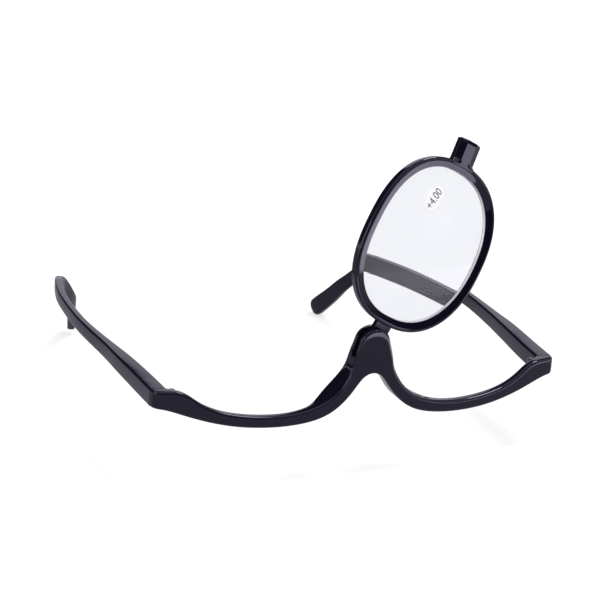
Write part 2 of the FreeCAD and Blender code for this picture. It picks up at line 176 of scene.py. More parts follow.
table_mesh = bpy.data.meshes.new("table")
reach = 3.0
table_corners = [(-reach, -reach, 0), (reach, -reach, 0), (reach, reach, 0), (-reach, reach, 0)]
table_mesh.from_pydata(table_corners, [], [(0, 1, 2, 3)])
table = add_object("table", table_mesh)
table_gap = 0.5 * MM
table.matrix_world = Matrix.Translation((0, 0, lowest - table_gap))


# %% Node helpers
def new_tree(owner):
    owner.use_nodes = True
    owner.node_tree.nodes.clear()
    return owner.node_tree


def node(tree, kind, values=None, **settings):
    """Adds a node. Settings are its own properties. Values go to its inputs by name or index:
    another node's output is linked, and anything else is set as the input's own value."""
    item = tree.nodes.new(kind)
    for key, value in settings.items():
        setattr(item, key, value)
    for key, value in (values or {}).items():
        if isinstance(value, bpy.types.NodeSocket):
            tree.links.new(value, item.inputs[key])
        else:
            item.inputs[key].default_value = value
    return item


def maths(tree, operation, *sources, **settings):
    """The result of a Math node that takes sockets or numbers."""
    return node(tree, "ShaderNodeMath", dict(enumerate(sources)), operation=operation,
                **settings).outputs[0]


def times(tree, first, *others):
    for other in others:
        first = maths(tree, "MULTIPLY", first, other)
    return first


def ramp(tree, source, low, high, to_low=0.0, to_high=1.0):
    """A smooth step from one value to another while the source runs from low to high."""
    return node(tree, "ShaderNodeMapRange",
                {"Value": source, "From Min": low, "From Max": high, "To Min": to_low,
                 "To Max": to_high}, interpolation_type="SMOOTHSTEP").outputs[0]


def mix_shader(tree, factor, first, second):
    return node(tree, "ShaderNodeMixShader", {0: factor, 1: first, 2: second}).outputs[0]


def rays_seen(tree):
    """Straight is 1 for camera rays and rays through the lens, any is 1 for those off gloss too."""
    path = node(tree, "ShaderNodeLightPath").outputs
    straight = maths(tree, "MAXIMUM", path["Is Camera Ray"], path["Is Transmission Ray"])
    return straight, maths(tree, "MAXIMUM", straight, path["Is Glossy Ray"])


# %% White table
# Gloss shows the surroundings with the faint violet of the photographed greys
plain_white, gloss_violet = (1, 1, 1, 1), (0.91, 0.90, 1.02, 1)
# The second number is the strength of a painted pool of light on the paper, seen only in the gloss
paper_glow, painted_pool_glow = 0.47, 4.2

paper = bpy.data.materials.new("white_table")
tree = new_tree(paper)
straight, any_seen = rays_seen(tree)
# The gloss sees painted light on the paper: a painted pool of light in front on the right,
# and painted shade that darkens the paper towards the back
spot = node(tree, "ShaderNodeTexCoord").outputs["Object"]
slant = node(tree, "ShaderNodeVectorMath", {0: spot, 1: (0.7071, -0.7071, 0.0)},
             operation="DOT_PRODUCT").outputs["Value"]
far = node(tree, "ShaderNodeVectorMath", {0: spot}, operation="LENGTH").outputs["Value"]
depth = node(tree, "ShaderNodeSeparateXYZ", {0: spot}).outputs["Y"]
# Painted light: a bright pool in front on the right, which only the gloss sees
patch = times(tree, ramp(tree, slant, 0.125, 0.148, 0.0, painted_pool_glow),
              ramp(tree, far, 0.285, 0.262))
# Painted shade: the paper seen in the gloss darkens towards the back
painted_gloss_light = maths(tree, "ADD", patch, ramp(tree, depth, 0.08, 0.24, 0.66, 0.30))
strength = node(tree, "ShaderNodeMix", {"Factor": straight, "A": painted_gloss_light, "B": paper_glow})
hue = node(tree, "ShaderNodeMix", data_type="RGBA",
           values={"Factor": straight, "A": gloss_violet, "B": plain_white})
matte = node(tree, "ShaderNodeBsdfDiffuse",
             {"Color": (0.50, 0.50, 0.51, 1), "Roughness": 0.5}).outputs[0]
glow = node(tree, "ShaderNodeEmission",
            {"Color": hue.outputs["Result"], "Strength": strength.outputs[0]}).outputs[0]
both = node(tree, "ShaderNodeAddShader", {0: matte, 1: glow}).outputs[0]
seen = mix_shader(tree, straight, glow, both)
node(tree, "ShaderNodeOutputMaterial", {0: mix_shader(tree, any_seen, matte, seen)})
table_mesh.materials.append(paper)

# %% White tent, open to a dim room behind the camera
world = bpy.data.worlds.new("white_tent")
bpy.context.scene.world = world
tree = new_tree(world)
place = node(tree, "ShaderNodeTexCoord").outputs["Generated"]
x, y, z = node(tree, "ShaderNodeSeparateXYZ", {0: place}).outputs
# The opening lies towards the camera, below the overhead cloth. A gap between the back cloth and
# the left cloth, and a seam across the back, are dark too: they draw the thin black lines along
# the rounded edges. The strong lamp is low at the right, beside the camera.
opening = times(tree, ramp(tree, y, -0.35, -0.75), ramp(tree, z, 0.74, 0.58))
gap = times(tree, ramp(tree, x, -0.66, -0.56), ramp(tree, x, 0.10, 0.00),
            ramp(tree, z, -0.02, 0.05), ramp(tree, z, 0.72, 0.60), ramp(tree, y, 0.0, 0.3))
seam = times(tree, ramp(tree, z, 0.42, 0.50), ramp(tree, z, 0.84, 0.76), ramp(tree, y, 0.0, 0.2))
low_lamp = times(tree, ramp(tree, x, 0.50, 0.55), ramp(tree, x, 0.73, 0.68),
                 ramp(tree, z, 0.16, 0.12), ramp(tree, y, -0.5, -0.6), 4.4)
dark = maths(tree, "MAXIMUM", opening, maths(tree, "MAXIMUM", gap, seam))
sight = node(tree, "ShaderNodeLightPath").outputs["Is Camera Ray"]
dark = maths(tree, "SUBTRACT", dark, sight, use_clamp=True)
backdrop = maths(tree, "MAXIMUM", ramp(tree, dark, 0.0, 1.0, 1.0, 0.01), low_lamp)
straight, any_seen = rays_seen(tree)
strength = node(tree, "ShaderNodeMix", {"Factor": any_seen, "B": backdrop,
                                        "A": ramp(tree, z, -0.1, 0.75, 0.95, 1.0)})
off_gloss = maths(tree, "SUBTRACT", any_seen, straight, use_clamp=True)
hue = node(tree, "ShaderNodeMix", data_type="RGBA",
           values={"Factor": off_gloss, "A": plain_white, "B": gloss_violet})
sky = node(tree, "ShaderNodeBackground",
           {"Color": hue.outputs["Result"], "Strength": strength.outputs[0]})
node(tree, "ShaderNodeOutputWorld", {0: sky.outputs[0]})


def soft_lamp(name, place, target, size, power):
    data = bpy.data.lights.new(name, "AREA")
    data.shape, data.size, data.energy = "SQUARE", size, power
    lamp = add_object(name, data)
    lamp.location = place
    lamp.rotation_euler = (Vector(target) - Vector(place)).to_track_quat("-Z", "Y").to_euler()


soft_lamp("overhead_softbox", (0.42, 0.10, 0.90), (0, 0.05, 0), 0.30, 4.5)
soft_lamp("left_softbox", (-0.95, -0.35, 0.45), (0, 0.02, 0), 0.4, 2.0)
bpy.context.scene.view_settings.view_transform = "Standard"
print("table and light set")

# %% [markdown]
# ## Finishes
# The frame is injection moulded and polished: black with a trace of violet, a mirror gloss that is
# broken only by very fine flow waves, and a few faint handling marks that make small patches a
# little less shiny. One group makes those marks for every moulded piece, with its own scale and
# strength in each material. The lens is clear resin, the label a matt white film, and the small
# screws and hinge leaves are blackened steel.


# %% Handling marks, shared by the finishes
def handling_marks():
    tree = bpy.data.node_groups.new("handling_marks", "ShaderNodeTree")
    for name, default in (("Scale", 60.0), ("Base Roughness", 0.1), ("Mark Strength", 0.1),
                          ("Wave Height", 0.02)):
        socket = tree.interface.new_socket(name, in_out="INPUT", socket_type="NodeSocketFloat")
        socket.default_value = default
    tree.interface.new_socket("Roughness", in_out="OUTPUT", socket_type="NodeSocketFloat")
    tree.interface.new_socket("Normal", in_out="OUTPUT", socket_type="NodeSocketVector")
    given = node(tree, "NodeGroupInput").outputs
    place = node(tree, "ShaderNodeTexCoord").outputs["Object"]
    smears = node(tree, "ShaderNodeTexNoise",
                  {"Vector": place, "Scale": given["Scale"], "Detail": 4.0, "Roughness": 0.6,
                   "Distortion": 0.8}).outputs["Fac"]
    patch = node(tree, "ShaderNodeMapRange",
                 {"Value": smears, "From Min": 0.52, "From Max": 0.75}).outputs[0]
    roughness = maths(tree, "ADD", times(tree, patch, given["Mark Strength"]),
                      given["Base Roughness"])
    waves = node(tree, "ShaderNodeTexNoise",
                 {"Vector": place, "Scale": times(tree, given["Scale"], 4.0), "Detail": 2.0})
    bump = node(tree, "ShaderNodeBump", {"Height": waves.outputs["Fac"], "Distance": 0.0002,
                                         "Strength": given["Wave Height"]})
    node(tree, "NodeGroupOutput", {"Roughness": roughness, "Normal": bump.outputs[0]})
    return tree


marks = handling_marks()


def finish(name, colour, values, scale, rough, marked, waves):
    """A Principled material whose roughness and normal come from the handling marks."""
    material = bpy.data.materials.new(name)
    tree = new_tree(material)
    worn = node(tree, "ShaderNodeGroup",
                {"Scale": scale, "Base Roughness": rough, "Mark Strength": marked,
                 "Wave Height": waves}, node_tree=marks).outputs
    shader = node(tree, "ShaderNodeBsdfPrincipled",
                  {"Base Color": (*colour, 1), "Roughness": worn["Roughness"],
                   "Normal": worn["Normal"], **values})
    node(tree, "ShaderNodeOutputMaterial", {0: shader.outputs[0]})
    return material


violet_sheen = {"IOR": 1.42, "Specular Tint": (0.90, 0.85, 1.0, 1)}
polished_black = finish("polished_black", (0.0042, 0.0036, 0.0095), violet_sheen,
                        scale=90.0, rough=0.04, marked=0.06, waves=0.035)
temple_black = finish("temple_black", (0.0046, 0.0040, 0.0105), violet_sheen,
                      scale=70.0, rough=0.06, marked=0.08, waves=0.06)
dark_steel = finish("dark_steel", (0.11, 0.11, 0.12), {"Metallic": 1.0},
                    scale=900.0, rough=0.28, marked=0.15, waves=0.10)
turned_brass = finish("turned_brass", (0.62, 0.47, 0.22), {"Metallic": 1.0},
                      scale=900.0, rough=0.25, marked=0.15, waves=0.10)
label_film = finish("label_film", (0.95, 0.95, 0.955), {"IOR": 1.45},
                    scale=500.0, rough=0.45, marked=0.10, waves=0.15)
label_ink = finish("label_ink", (0.018, 0.018, 0.021), {"IOR": 1.45},
                   scale=500.0, rough=0.5, marked=0.10, waves=0.10)

# %% Clear lens resin
# A thin coating gives the lens a faint milky veil, uneven like a wiped surface.


def clear_resin(name, tint, veil_most):
    """Clear resin with its own tint and the most that its milky veil covers."""
    material = bpy.data.materials.new(name)
    tree = new_tree(material)
    glass = node(tree, "ShaderNodeBsdfPrincipled",
                 {"Base Color": (*tint, 1), "Transmission Weight": 1.0, "IOR": 1.30,
                  "Roughness": 0.0, "Specular Tint": (0.2, 0.2, 0.2, 1)}).outputs[0]
    milk = node(tree, "ShaderNodeBsdfDiffuse", {"Color": (0.90, 0.91, 0.97, 1)}).outputs[0]
    place = node(tree, "ShaderNodeTexCoord").outputs["Object"]
    wiped = node(tree, "ShaderNodeTexNoise", {"Vector": place, "Scale": 60.0, "Detail": 3.0})
    cover = ramp(tree, wiped.outputs["Fac"], 0.3, 0.7, veil_most * 0.75, veil_most)
    shade = node(tree, "ShaderNodeBsdfTransparent", {"Color": (0.93, 0.93, 0.95, 1)}).outputs[0]
    shadow = node(tree, "ShaderNodeLightPath").outputs["Is Shadow Ray"]
    whole = mix_shader(tree, shadow, mix_shader(tree, cover, glass, milk), shade)
    node(tree, "ShaderNodeOutputMaterial", {0: whole})
    return material


lens_clear = clear_resin("lens_clear", (0.775, 0.782, 0.806), 0.06)
lens_rim = clear_resin("lens_rim", (0.93, 0.93, 0.95), 0.9)
lens_line = clear_resin("lens_line", (0.42, 0.42, 0.48), 0.06)
print("finishes", sorted(m.name for m in bpy.data.materials if m.users == 0 or m.node_tree))

# %% [markdown]
# ## The front
# The front is one long moulding: rims under the eyes, a nose arch, and a tall post in the middle,
# all bent round the face. Seen from the front it lies between two curves, the lower edge and the
# upper edge. Seen from above it lies between the bent face and a back that swells at the nose pads.
# So it is drawn as a ribbon: at each station a closed section joins the two edges, with a rounded
# corner at the front where light catches, and the sections are joined with quads.

# %% Sizes of the front
half_width, wrap_radius = 70.6, 252.0
rim_height, rim_depth, bridge_depth, pad_depth = 3.8, 2.9, 5.7, 8.2
face_round, back_round = 0.9, 0.3
pivot_height, post_round, post_side = 9.9, 4.9, 5.2
corner_round, seam_return, endpiece_wall = 2.8, 0.25, 5.4
endpiece_top, endpiece_height = -3.6, 5.8
ring_start_gap, ring_end_margin, ring_half_width = 1.6, 8.4, 21.8
oval_power, nest_angle, nest_side, nest_below = 2.35, 1.5, 0.5, 1.3

ring_start = post_round + ring_start_gap
ring_end = half_width - ring_end_margin
ring_half_length = (ring_end - ring_start) / 2
ring_reach = (ring_end + ring_start) / 2
endpiece_bottom = endpiece_top - endpiece_height
nest = math.radians(nest_angle)
nest_x, nest_z = ring_reach * math.cos(nest), pivot_height + ring_reach * math.sin(nest)
scoop_length, scoop_width = ring_half_length + nest_side, ring_half_width + nest_below
scoop_floor = nest_z - scoop_width
rim_floor = scoop_floor - rim_height
corner_x = half_width - corner_round
corner_y = wrap_radius - math.sqrt((wrap_radius - corner_round) ** 2 - corner_x ** 2)
seam_depth = corner_y + seam_return


def wrap_y(x):
    return wrap_radius - math.sqrt(wrap_radius ** 2 - x * x)


def oval(half_length, half_width_, angle):
    c, s = math.cos(angle), math.sin(angle)
    return (math.copysign(half_length * abs(c) ** (2 / oval_power), c),
            math.copysign(half_width_ * abs(s) ** (2 / oval_power), s))


# %% The two edges of the front
top_points = [(post_side * math.cos(math.radians(a)),
               pivot_height + post_round * math.sin(math.radians(a))) for a in (90, 65, 38, 3)]
for a in (188, 199, 211, 225, 240, 255, 270, 284):
    x, z = oval(scoop_length, scoop_width, math.radians(a))
    top_points.append((nest_x + x, nest_z + z))
drop = endpiece_top - scoop_floor
for along, share in ((0.715, 0.74), (0.795, 0.43), (0.850, 0.135), (0.885, 0.025), (0.942, 0.0),
                     (1.02, 0.0)):
    top_points.append((half_width * along, endpiece_top - drop * share))

bottom_points = [(half_width * along, rim_floor * share) for along, share in
                 ((0.0, 0.0), (0.031, 0.035), (0.062, 0.160), (0.090, 0.325), (0.122, 0.492),
                  (0.170, 0.675), (0.240, 0.838), (0.340, 0.956), (0.480, 1.0), (0.625, 0.963))]
drop = endpiece_bottom - rim_floor
for along, share in ((0.752, 0.66), (0.870, 0.30), (0.945, 0.07), (1.02, -0.03)):
    bottom_points.append((half_width * along, endpiece_bottom - drop * share))


def whole_edge(half):
    left = [(-x, z) for x, z in reversed(half[1:])]
    return natural_spline(left + half, 4001)


def settled(edge):
    """The rims sit a third of a millimetre lower beside the post."""
    sink, sink_x, sink_spread = 0.35, 15, 7
    edge[:, 1] -= sink * np.exp(-((np.abs(edge[:, 0]) - sink_x) / sink_spread) ** 2)
    return edge


top_edge, bottom_edge = settled(whole_edge(top_points)), settled(whole_edge(bottom_points))
print("upper edge from", top_edge[:, 1].min().round(2), "to", top_edge[:, 1].max().round(2), "mm")

# %% Plan of the front: face and back, seen from above
back_points = [(half_width * along, depth) for along, depth in
               ((0.0, bridge_depth), (0.070, bridge_depth * 1.02), (0.125, pad_depth * 0.93),
                (0.165, pad_depth), (0.215, pad_depth * 0.84), (0.275, rim_depth * 1.38),
                (0.350, rim_depth * 1.03), (0.470, rim_depth), (0.640, rim_depth),
                (0.790, rim_depth), (0.865, rim_depth * 0.97))]
inner_x = half_width - endpiece_wall
heel_x = inner_x - rim_depth / 2
back_points.append((heel_x, rim_depth * 0.97))
back_line = whole_edge([(x, wrap_y(x) + depth) for x, depth in back_points])


def back_y(x):
    return float(np.interp(x, back_line[:, 0], back_line[:, 1]))


# Face path round the endpiece: points with the direction into the material
touch_x = corner_x * wrap_radius / (wrap_radius - corner_round)
corner_from = 67.5
face_path = [(x, wrap_y(x), -x / wrap_radius, 1 - wrap_y(x) / wrap_radius)
             for x in np.linspace(corner_from, touch_x, 4)[:-1]]
first = math.atan2(corner_x, wrap_radius - corner_y)
for a in np.linspace(first, quarter_turn, 12):
    face_path.append((corner_x + corner_round * math.sin(a), corner_y - corner_round * math.cos(a),
                      -math.sin(a), math.cos(a)))
for y in np.linspace(corner_y, seam_depth, 3)[1:]:
    face_path.append((half_width, y, -1.0, 0.0))
print("endpiece face has", len(face_path), "stations")

# %% Stations of the front: matching places on the upper and the lower edge
middle_index = len(top_edge) // 2


def half_edge(edge):
    half = edge[middle_index:]
    run = run_along(half)
    slope_ = np.gradient(half, run, axis=0)
    return half, run, slope_ / np.linalg.norm(slope_, axis=1)[:, None]


top_half, top_run, top_way = half_edge(top_edge)
low_half, low_run, low_way = half_edge(bottom_edge)
pairs = ((0, 0), (4.9, 2.3), (6.25, 4.3), (7.3, 5.7), (9.5, 7.5), (13.2, 10.6), (18.6, 16.4),
         (25.4, 24.4), (34.3, 34.2), (50.5, 51.4), (56.5, 57.9), (61.5, 62.6), (65.0, 65.3),
         (corner_from, corner_from))
matched = natural_spline([(np.interp(a, top_half[:, 0], top_run),
                           np.interp(b, low_half[:, 0], low_run)) for a, b in pairs], 800)
stations = []
for run in np.linspace(0, matched[-1, 0], 170):
    low = np.interp(run, matched[:, 0], matched[:, 1])
    tw, bw = curve_at(run, top_run, top_way), curve_at(low, low_run, low_way)
    stations.append((curve_at(run, top_run, top_half), curve_at(low, low_run, low_half),
                     (tw[1], -tw[0]), (-bw[1], bw[0])))
print("front has", len(stations) + len(face_path), "stations on each side")

# %% Closed sections of the front
face_steps, round_steps, wall_steps = 8, 6, 3
turn_x = 62.0
heel_path = np.array([(turn_x, back_y(turn_x)), (heel_x, back_y(heel_x)),
                      (inner_x, seam_depth)])
heel_run = run_along(heel_path)
end_run = [corner_from - turn_x]
for a, b in zip(face_path[:-1], face_path[1:]):
    end_run.append(end_run[-1] + math.dist(a[:2], b[:2]))


def rear_place(x, run):
    """Plan point of the back behind a face point; past turn_x it is the endpiece's inside."""
    if run is None:
        return x, back_y(x)
    return curve_at(run / end_run[-1] * heel_run[-1], heel_run, heel_path)


def face_point(x, z, plan, depth):
    """A point at a depth behind the bent face, or behind the corner where plan is given."""
    if plan is None:
        y = wrap_y(x)
        return (x - x / wrap_radius * depth, y + depth * (1 - y / wrap_radius), z)
    px, py, nx, ny = plan
    return (px + nx * depth, py + ny * depth, z)


def front_section(t, b, t_in, b_in, plan=None, run=None):
    """Closed loop: down the face, round the lower edge, up the back, round the upper edge."""
    def corner(p, into):
        side = []
        for k in range(round_steps + 1):
            a = quarter_turn * k / round_steps
            shift = face_round * (1 - math.sin(a))
            side.append(face_point(p[0] + into[0] * shift, p[1] + into[1] * shift, plan,
                                   face_round * (1 - math.cos(a))))
        return side

    def rear(p, edge):
        rx, ry = rear_place(p[0], run)
        rz = float(np.interp(rx, edge[:, 0], edge[:, 1])) if run is not None else p[1]
        return rx, ry, rz

    upper, lower = corner(t, t_in), corner(b, b_in)
    rear_top, rear_low = rear(t, top_half), rear(b, low_half)

    def rear_round(p, into, front):
        ahead = np.array(front) - np.array(p)
        ahead /= np.linalg.norm(ahead)
        flat = np.array([into[0], 0, into[1]])
        return [tuple(np.array(p) + flat * back_round * (1 - math.sin(a))
                      + ahead * back_round * (1 - math.cos(a)))
                for a in (quarter_turn, quarter_turn / 2, 0)]

    def between(p, q, steps, surface):
        p, q = np.array(p), np.array(q)
        return [surface(p + (q - p) * k / steps) for k in range(1, steps)]

    def on_face(m):
        return face_point(m[0], m[2], None, 0.0) if plan is None else tuple(m)

    def on_back(m):
        return (m[0], back_y(m[0]), m[2]) if run is None else tuple(m)

    top_back = rear_round(rear_top, t_in, upper[-1])
    low_back = rear_round(rear_low, b_in, lower[-1])
    loop = [upper[0]] + between(upper[0], lower[0], face_steps, on_face) + lower
    loop += between(lower[-1], low_back[0], wall_steps, tuple) + low_back
    loop += between(low_back[-1], top_back[-1], face_steps, on_back) + top_back[::-1]
    loop += between(top_back[0], upper[-1], wall_steps, tuple) + upper[:0:-1]
    return loop


sections = []
for t, b, t_in, b_in in stations:
    run = t[0] - turn_x if t[0] > turn_x else None
    sections.append(front_section(t, b, t_in, b_in, None, run))
for plan, run in list(zip(face_path, end_run))[1:]:
    x = min(plan[0], half_width)
    t = (x, float(np.interp(x, top_half[:, 0], top_half[:, 1])))
    b = (x, float(np.interp(x, low_half[:, 0], low_half[:, 1])))
    sections.append(front_section(t, b, (0, -1), (0, 1), plan, run))
# The end at the seam has a small bevel of its own
seam_bevel = 0.25
end_middle = np.mean(sections[-1], axis=0)
end_loop = []
for p in sections[-1]:
    way = end_middle - np.array(p)
    way[1] = 0
    end_loop.append(tuple(np.array(p) + way / np.linalg.norm(way) * seam_bevel))
sections[-1] = [(x, y - seam_bevel, z) for x, y, z in sections[-1]]
sections.append(end_loop)
loops = [[(-x, y, z) for x, y, z in loop] for loop in sections[:0:-1]] + sections
points = [p for loop in loops for p in loop]
front = make_mesh("front_moulding", points, capped_tube(len(loops), len(loops[0])))
print("front moulding", len(points), "points")

# %% Cut the fork slot
# The slot is a plain box cut through the post and the bridge behind the front wall.
slot_half, slot_front, slot_back, slot_low, slot_top = 14.7, 1.7, 4.1, 5.4, 30


def box_mesh(name, low, high):
    xs, ys, zs = zip(low, high)
    corners = [(x, y, z) for x in xs for y in ys for z in zs]
    quads = [(0, 1, 3, 2), (4, 6, 7, 5), (0, 4, 5, 1), (2, 3, 7, 6), (0, 2, 6, 4), (1, 5, 7, 3)]
    return make_mesh(name, corners, quads)


def baked(piece):
    """A new mesh of the piece as its modifiers and its text leave it."""
    shape = piece.evaluated_get(bpy.context.evaluated_depsgraph_get())
    return bpy.data.meshes.new_from_object(shape)


def cut(piece, tool):
    """An exact boolean difference, baked into the piece's mesh."""
    modifier = piece.modifiers.new("cut", "BOOLEAN")
    modifier.operation, modifier.solver, modifier.object = "DIFFERENCE", "EXACT", tool
    mesh = baked(piece)
    piece.modifiers.clear()
    old, piece.data = piece.data, mesh
    mesh.name = piece.name
    shade_smooth(mesh)
    bpy.data.meshes.remove(old)
    bpy.data.objects.remove(tool)


cut(front, box_mesh("slot_box", (-slot_half, slot_front, slot_low),
                    (slot_half, slot_back, slot_top)))
front.data.materials.append(polished_black)
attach(front, "front")
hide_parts("front_frame")
print("front moulding cut,", len(front.data.polygons), "faces")

# %% [markdown]
# ## The lens ring
# The ring is an oval with flattened sides. Its section has a rounded outer corner and a bevel
# round the opening, and the whole ring is bent to the same curve as the front. It is drawn with
# its long axis level and then turned about the pivot to the open angle.

# %% Sizes of the ring and the turn
ring_thickness, ring_setback, ring_face = 3.25, 0.5, 3.0
ring_along, ring_across, ring_shift, ring_rise = ring_half_length + 0.15, 22.5, 0.15, 0.3
ring_front_round, ring_back_round, bezel_width, bezel = 0.8, 0.5, 2.1, 0.75
tab_length, tab_width, tab_flat, tab_drop, tab_root, tab_round = 7.7, 8.1, 3.5, 1.1, 2.4, 0.3
stem_width, stem_front, stem_back, eye_radius = 5.6, 1.93, 3.87, 4.0
open_turn = math.radians(61.2)


def opened(points_):
    c, s = math.cos(open_turn), math.sin(open_turn)
    return [(x * c - (z - pivot_height) * s, y, pivot_height + x * s + (z - pivot_height) * c)
            for x, y, z in points_]


def on_bend(x, z, depth):
    """A point on the ring's bent surface at a depth behind its front."""
    y = wrap_y(x)
    return (x - x / wrap_radius * depth, y + ring_setback + depth * (1 - y / wrap_radius), z)


def oval_at(angle, inset):
    x, z = oval(ring_along - inset, ring_across - inset, angle)
    return ring_reach + ring_shift + x, pivot_height + ring_rise + z


# %% Draw the ring
def arc(radius, start, end, count):
    """Offsets of a rounded corner: (inset, depth) from the corner's two walls."""
    return [(radius * (1 - math.sin(a)), radius * (1 - math.cos(a)))
            for a in np.linspace(start, end, count)]


loop = [(ring_face, ring_thickness + (bezel - ring_thickness) * k / 4) for k in range(5)]
loop += [(ring_face - bezel_width * k / 5, bezel * (1 - k / 5)) for k in range(1, 5)]
loop += arc(ring_front_round, 0, quarter_turn, 9)
wall = ring_thickness - ring_back_round
loop += [(0.0, ring_front_round + (wall - ring_front_round) * k / 3) for k in range(1, 3)]
loop += [(s_, ring_thickness - d) for s_, d in arc(ring_back_round, quarter_turn, 0, 6)]
loop += [(ring_back_round + (ring_face - ring_back_round) * k / 4, ring_thickness)
         for k in range(1, 4)]
around = len(loop)

# Even steps along the outline: equal steps of the oval's own angle would bunch at its flat sides
full_turn = np.linspace(0, 2 * math.pi, 2881)
fine = np.array([oval_at(a, ring_face / 2) for a in full_turn])
run = run_along(fine)
ring_count = 240
angles = np.interp(np.arange(ring_count) / ring_count * run[-1], run, full_turn)
ring_points, ring_faces = [], []
for a in angles:
    for inset, depth in loop:
        x, z = oval_at(a, inset)
        ring_points.append(on_bend(x, z, depth))
for r in range(ring_count):
    after = (r + 1) % ring_count
    for k in range(around):
        n = (k + 1) % around
        ring_faces.append((r * around + k, r * around + n, after * around + n, after * around + k))

# %% The finger tab
# A flat runs down its middle with a flank on each side, and hollow curves widen its root.
tab_tip, tab_from = ring_end + tab_length, ring_end - tab_root / 2
tab_start, flank_from, flank_over = ring_end - 0.8, ring_end - 0.4, 1.6
root_end, round_from = tab_from + tab_root, tab_tip - tab_round


def tab_section(x):
    """Closed section across the tab at a place along it: flat, flank, side, back and mirrored."""
    half, shrink = tab_width / 2, 0.0
    if x < root_end:
        along = min(1.0, max(0.0, (x - tab_from) / tab_root))
        half += tab_root * (1 - math.sqrt(max(0.0, 1 - (1 - along) ** 2)))
    if x > round_from:
        past = (x - round_from) / tab_round
        shrink = tab_round * (1 - math.sqrt(max(0.0, 1 - past ** 2)))
    rise = min(1.0, max(0.0, (x - flank_from) / flank_over))
    drop_ = tab_drop * rise * rise * (3 - 2 * rise)
    half -= shrink
    r = max(0.05, tab_round - shrink)
    back = ring_thickness - shrink
    flat_half = min(tab_flat / 2, (half - r) * 0.9)
    side = [(flat_half * k / 3, shrink) for k in range(3)]
    side += [(flat_half + (half - r - flat_half) * k / 4, shrink + drop_ * k / 4) for k in range(4)]
    low = shrink + drop_
    side += [(half - s_, low + d) for s_, d in arc(r, 0, quarter_turn, 5)]
    side += [(half, (low + back) / 2)]
    side += [(half - s_, back - d) for s_, d in arc(r, quarter_turn, 0, 5)]
    side += [(half / 2, back), (0.0, back)]
    return side + [(-u, d) for u, d in side[-2:0:-1]]


tab_xs = np.concatenate([np.linspace(tab_start, flank_from, 4),
                         np.linspace(flank_from, root_end, 12)[1:],
                         np.linspace(root_end, round_from, 7)[1:],
                         round_from + tab_round * np.sin(np.linspace(0, quarter_turn, 6)[1:])])
tab_points = [on_bend(x, pivot_height + ring_rise + u, d)
              for x in tab_xs for u, d in tab_section(x)]
tab_around = len(tab_section(tab_tip))
tab_faces = capped_tube(len(tab_xs), tab_around)
print("tab sections of", tab_around, "points")

# %% The stem and its eye
# The stem is a flat bar that ends in a round eye on the pivot.
stem_foot = ring_start + ring_face * 0.6
stem_outline = [(stem_foot, -stem_width / 2)]
half_open = math.asin(stem_width / 2 / eye_radius)
for a in np.linspace(2 * math.pi - half_open, half_open, 49):
    stem_outline.append((eye_radius * math.cos(a), eye_radius * math.sin(a)))
stem_outline.append((stem_foot, stem_width / 2))
stem_loops = [[(x, y, pivot_height + z) for x, z in stem_outline] for y in (stem_front, stem_back)]
stem_points = stem_loops[0] + stem_loops[1]
count = len(stem_outline)
stem_faces = tube_faces(2, count) + [tuple(range(count))[::-1], tuple(range(count, 2 * count))]

ring = make_mesh("ring_oval", opened(ring_points), ring_faces, 30)
tab = make_mesh("ring_tab", opened(tab_points), tab_faces, 24)
stem = make_mesh("ring_stem", opened(stem_points), stem_faces, 30)


def join(name, pieces):
    """One object from several, sharing the first one's place."""
    with bpy.context.temp_override(active_object=pieces[0], selected_editable_objects=pieces):
        bpy.ops.object.join()
    pieces[0].name = pieces[0].data.name = name
    return pieces[0]


def face_outward(piece):
    """Turns every shell's faces to point outward."""
    shape = bmesh.new()
    shape.from_mesh(piece.data)
    bmesh.ops.recalc_face_normals(shape, faces=shape.faces)
    shape.to_mesh(piece.data)
    shape.free()


for piece in (ring, tab, stem):
    face_outward(piece)
ring = join("ring_moulding", [ring, tab, stem])
ring.data.materials.append(polished_black)
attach(ring, "lens_arm")
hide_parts("lens_ring")
print("ring moulding", len(ring.data.polygons), "faces")

# %% [markdown]
# ## The lens
# The lens is bounded by two true spheres, so what lies behind it is enlarged and shifted as in a
# real lens. Rings of points run from its middle out to the oval edge on both sides.

# %% Draw the lens
lens_front, lens_back, lens_thickness, lens_bulge = 80.0, 235.0, 3.6, 1.75
lens_edge = ring_face + 0.02
lean = math.asin(ring_reach / wrap_radius)
facing = np.array([-math.sin(lean), math.cos(lean), 0.0])
seat = np.array([ring_reach, wrap_y(ring_reach) + ring_setback, pivot_height])


def on_ball(x, z, radius, depth):
    """The point of a sphere's near side at a place seen from the front."""
    middle = seat + facing * (depth + radius)
    return (x, middle[1] - math.sqrt(radius ** 2 - (x - middle[0]) ** 2 - (z - middle[2]) ** 2), z)


lens_count = 240
lens_shares = [0.90 * (k / 34) ** 0.9 for k in range(1, 35)] + [0.938, 0.947, 1.0]
lens_rings = len(lens_shares)


def lens_at(angle, share):
    """A place on the lens; its last rings keep apart only along the side whose edge shows."""
    if share > 0.9:
        share = 1 - (1 - share) * max(0.03, -math.sin(angle)) ** 0.7
    x, z = oval_at(angle, lens_edge)
    return seat[0] + (x - seat[0]) * share, seat[2] + (z - seat[2]) * share


lens_points = [on_ball(seat[0], seat[2], lens_front, -lens_bulge)]
for share in lens_shares:
    for a in angles:
        lens_points.append(on_ball(*lens_at(a, share), lens_front, -lens_bulge))
for share in lens_shares[::-1]:
    for a in angles:
        lens_points.append(on_ball(*lens_at(a, share), lens_back, lens_thickness - lens_bulge))
lens_points.append(on_ball(seat[0], seat[2], lens_back, lens_thickness - lens_bulge))
lens_faces = dome_faces(lens_rings * 2, lens_count)
last = len(lens_points) - 1
lens_faces += [(last, last - lens_count + (k + 1) % lens_count, last - lens_count + k)
               for k in range(lens_count)]
lens = make_mesh("lens_resin", opened(lens_points), lens_faces, 30)
face_outward(lens)
for material in (lens_clear, lens_rim, lens_line):
    lens.data.materials.append(material)
